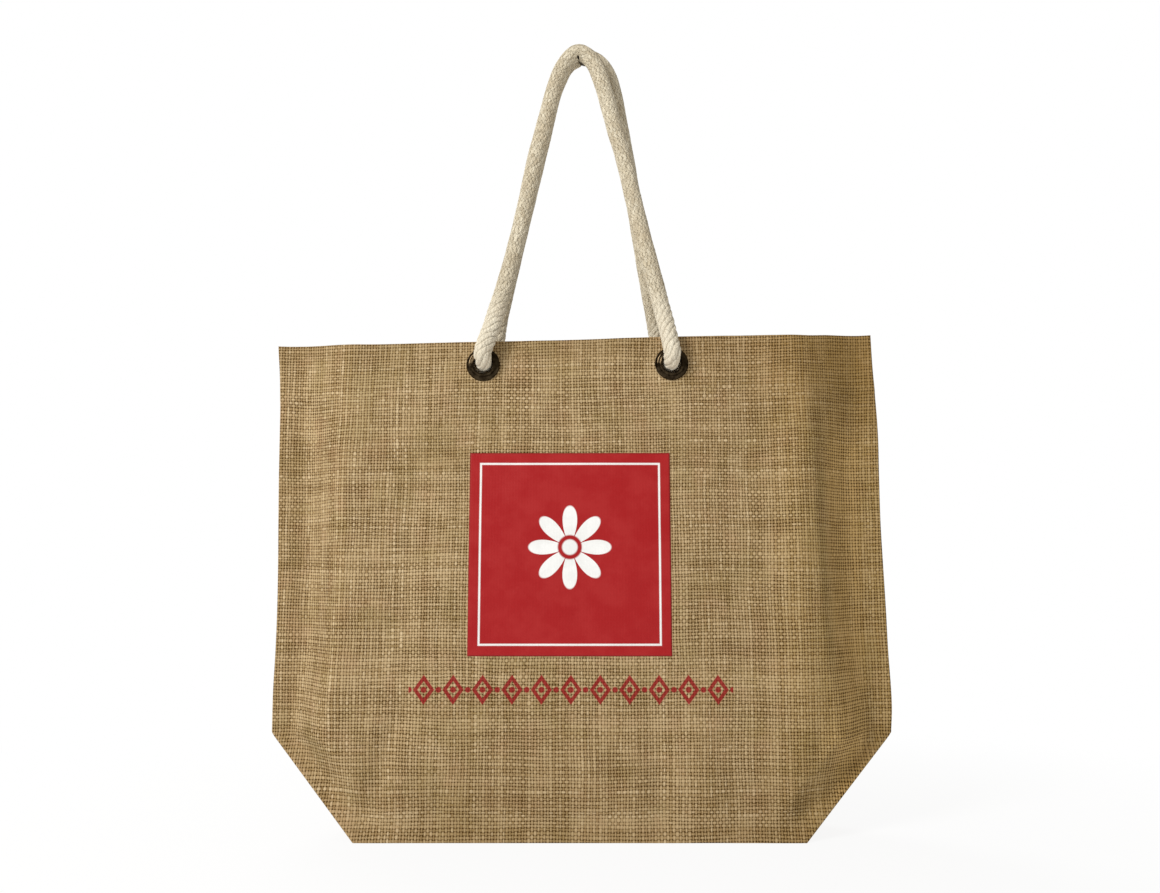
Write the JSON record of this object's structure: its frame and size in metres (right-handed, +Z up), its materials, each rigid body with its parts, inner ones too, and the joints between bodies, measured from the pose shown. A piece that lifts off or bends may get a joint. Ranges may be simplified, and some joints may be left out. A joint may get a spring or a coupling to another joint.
{
  "type": "burlap tote bag",
  "caption": "Burlap tote bag with slanted lower corners, a flat base and rope handles threaded through dark metal eyelets.",
  "frame": {"origin": "on the floor, under the middle of the bag's base", "axes": "+X along the bag's width, to the right as the front is seen; the front faces -Y; +Z up"},
  "size_m": [0.4302, 0.0938, 0.5625],
  "materials": {
    "burlap": "matte",
    "cotton_rope": "matte",
    "aged_brass": "satin",
    "red_film": "satin"
  },
  "bodies": {
    "root": {"front_panel": "burlap", "back_panel": "burlap", "base_gusset": "burlap", "print_film": "red_film", "eyelet_front_left": "aged_brass", "eyelet_front_right": "aged_brass", "eyelet_back_left": "aged_brass", "eyelet_back_right": "aged_brass", "handle_front": "cotton_rope", "handle_back": "cotton_rope", "knot_front_left": "cotton_rope", "knot_front_right": "cotton_rope", "knot_back_left": "cotton_rope", "knot_back_right": "cotton_rope"}
  },
  "joints": []
}
